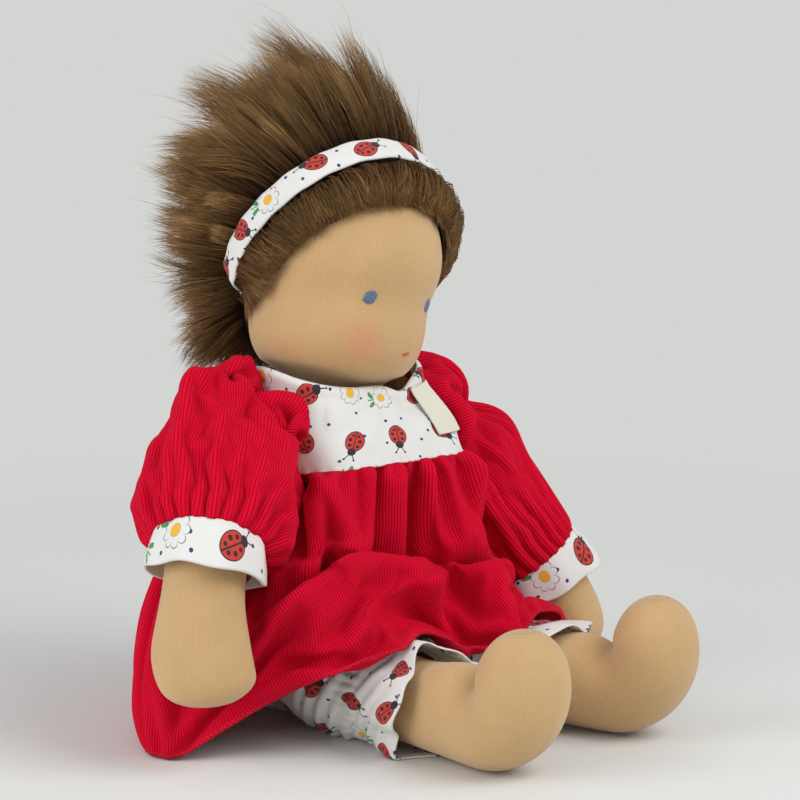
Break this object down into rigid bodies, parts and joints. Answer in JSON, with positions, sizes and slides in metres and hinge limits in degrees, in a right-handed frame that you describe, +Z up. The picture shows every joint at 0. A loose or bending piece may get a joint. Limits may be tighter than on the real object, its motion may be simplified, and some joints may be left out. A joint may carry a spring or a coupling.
{
  "type": "cloth doll",
  "caption": "Seated soft cloth doll with stitched face, pile hair and headband, gathered dress and ruffled bloomers; turns at neck, shoulders and hips.",
  "frame": {"origin": "the point where the seat of the bloomers meets the floor, below the body's middle", "axes": "+Z up, the doll faces -Y, its own left is +X"},
  "size_m": [0.2729, 0.2564, 0.3187],
  "materials": {
    "tricot": "brushed cotton tricot",
    "wool": "carded sheep's wool",
    "pile": "long soft pile",
    "backing": "knitted backing",
    "print": "printed cotton, white ground",
    "corduroy": "fine-wale corduroy",
    "elastic": "woven elastic",
    "blue_thread": "satin-stitched thread",
    "red_thread": "satin-stitched thread",
    "tie_thread": "wound cotton thread",
    "tape": "woven tape",
    "button": "polished"
  },
  "bodies": {
    "torso": {"torso_cover": "tricot", "torso_stuffing": "wool", "yoke_front": "print", "yoke_back_left": "print", "yoke_back_right": "print", "button_lower": "button", "button_upper": "button", "chest_tab": "tape", "skirt": "corduroy", "bloomer_seat": "print", "waist_elastic": "elastic"},
    "head": {"head_cover": "tricot", "head_core": "wool", "neck_tie": "tie_thread", "eye_left": "blue_thread", "eye_right": "blue_thread", "mouth_stitches": "red_thread", "wig_cap": "backing", "hair_crown": "pile", "hair_fringe": "pile", "headband": "print", "headband_elastic": "elastic"},
    "arm_left": {"arm_cover_left": "tricot", "arm_stuffing_left": "wool", "sleeve_left": "corduroy", "cuff_left": "print"},
    "arm_right": {"arm_cover_right": "tricot", "arm_stuffing_right": "wool", "sleeve_right": "corduroy", "cuff_right": "print"},
    "leg_left": {"leg_cover_left": "tricot", "leg_stuffing_left": "wool", "bloomer_leg_left": "print", "leg_elastic_left": "elastic", "leg_ruffle_left": "print"},
    "leg_right": {"leg_cover_right": "tricot", "leg_stuffing_right": "wool", "bloomer_leg_right": "print", "leg_elastic_right": "elastic", "leg_ruffle_right": "print"}
  },
  "joints": [
    {"name": "neck_turn", "type": "hinge", "parent": "torso", "child": "head", "pos_m": [0, -0.024, 0.1495], "axis": [0, 0, 1], "range_deg": [-20, 20], "deforming": ["hair_crown"]},
    {"name": "shoulder_left", "type": "hinge", "parent": "torso", "child": "arm_left", "pos_m": [0, -0.021, 0.138], "axis": [1, 0, 0], "range_deg": [-120, 30], "deforming": ["sleeve_left", "skirt"]},
    {"name": "shoulder_right", "type": "hinge", "parent": "torso", "child": "arm_right", "pos_m": [0, -0.021, 0.138], "axis": [1, 0, 0], "range_deg": [-120, 30], "deforming": ["sleeve_right", "skirt"]},
    {"name": "hip_left", "type": "hinge", "parent": "torso", "child": "leg_left", "pos_m": [0.0245, -0.032, 0.0262], "axis": [1, 0, 0], "range_deg": [0, 80], "deforming": ["bloomer_leg_left", "skirt"]},
    {"name": "hip_right", "type": "hinge", "parent": "torso", "child": "leg_right", "pos_m": [-0.0245, -0.032, 0.0262], "axis": [1, 0, 0], "range_deg": [0, 80], "deforming": ["bloomer_leg_right", "skirt"]}
  ]
}
